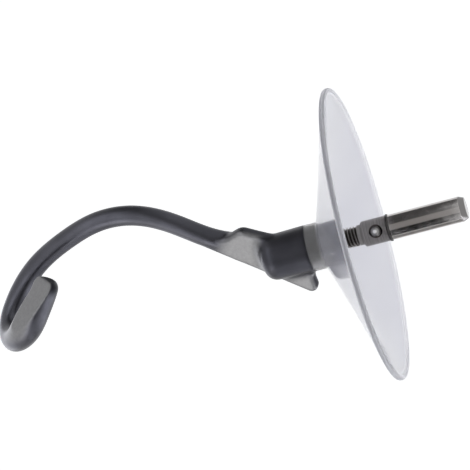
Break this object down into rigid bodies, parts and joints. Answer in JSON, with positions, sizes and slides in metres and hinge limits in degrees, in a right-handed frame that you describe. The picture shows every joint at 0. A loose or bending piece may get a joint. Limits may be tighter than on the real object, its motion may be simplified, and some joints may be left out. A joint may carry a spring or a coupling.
{
  "type": "stand mixer dough hook",
  "caption": "Dough hook for a stand mixer: a slanted cast wing and curled bar on a boss, a milky cone shield, and a round drive shank with a cross pin and a wire ring.",
  "frame": {"origin": "where the axis of the drive pin crosses the axis of the shank", "axes": "+Z along the shank to its free end, with the hook below; +Y along the drive pin; the bar of the hook swings out to -X"},
  "size_m": [0.116, 0.116, 0.1927],
  "materials": {
    "hook_metal": "dark polished casting",
    "shield_plastic": "milky, slightly see-through moulding",
    "shank_steel": "fine turned",
    "pin_steel": "polished ends",
    "ring_wire": "drawn spring wire"
  },
  "bodies": {
    "root": {"hook_casting": "hook_metal", "dough_shield": "shield_plastic", "drive_shank": "shank_steel", "drive_pin": "pin_steel", "snap_ring": "ring_wire"}
  },
  "joints": []
}
